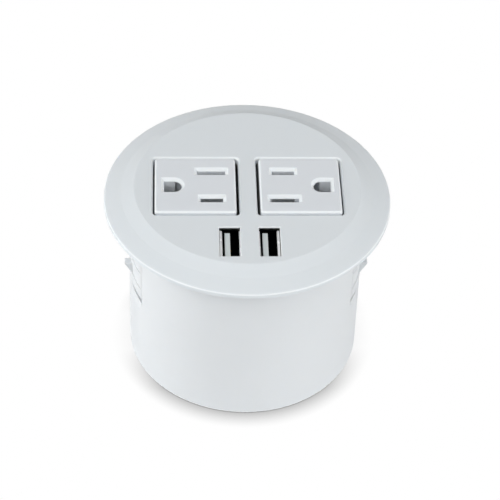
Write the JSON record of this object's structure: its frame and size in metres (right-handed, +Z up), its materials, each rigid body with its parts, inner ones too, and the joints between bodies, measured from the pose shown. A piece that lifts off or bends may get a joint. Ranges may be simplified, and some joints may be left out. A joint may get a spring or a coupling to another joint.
{
  "type": "in-desk power module",
  "caption": "Round flush-mount desk grommet unit with grounded outlets and USB charging ports in a flat face, on a cup body with snap tongues.",
  "frame": {"origin": "middle of the flat bottom of the housing, on the unit's upright axis", "axes": "+Z up, out of the face that the plugs enter; -Y towards the user, where the USB ports are; +X to the user's right; the cord would enter from +Y"},
  "size_m": [0.0888, 0.0888, 0.0644],
  "materials": {
    "cover_plastic": "white ABS, moulded, satin",
    "housing_plastic": "white ABS, moulded, satin",
    "outlet_plastic": "white polycarbonate, moulded, satin",
    "carrier_plastic": "natural nylon",
    "contact_brass": "stamped brass sheet",
    "shell_steel": "nickel-plated folded steel",
    "tongue_plastic": "pale grey moulded plastic",
    "pin_metal": "plated contact strip",
    "board_laminate": "green lacquered laminate",
    "core_ferrite": "ground ferrite",
    "coil_tape": "yellow insulating tape",
    "capacitor_sleeve": "dark shrink sleeve",
    "screw_steel": "zinc-plated steel",
    "bushing_plastic": "white nylon, moulded"
  },
  "bodies": {
    "root": {"top_cover": "cover_plastic", "housing": "housing_plastic", "outlet_face_left": "outlet_plastic", "outlet_face_right": "outlet_plastic", "contact_carrier_left": "carrier_plastic", "contact_carrier_right": "carrier_plastic", "hot_contact_left": "contact_brass", "hot_contact_right": "contact_brass", "neutral_contact_left": "contact_brass", "neutral_contact_right": "contact_brass", "ground_contact_left": "contact_brass", "ground_contact_right": "contact_brass", "hot_bar": "contact_brass", "neutral_bar": "contact_brass", "ground_bar": "contact_brass", "usb_shell_left": "shell_steel", "usb_shell_right": "shell_steel", "usb_tongue_left": "tongue_plastic", "usb_tongue_right": "tongue_plastic", "usb_pins_left": "pin_metal", "usb_pins_right": "pin_metal", "charger_board": "board_laminate", "transformer_core": "core_ferrite", "transformer_coil": "coil_tape", "input_capacitor": "capacitor_sleeve", "output_capacitors": "capacitor_sleeve", "cover_screws": "screw_steel", "carrier_screws": "screw_steel", "board_screws": "screw_steel", "cord_bushing": "bushing_plastic"}
  },
  "joints": []
}
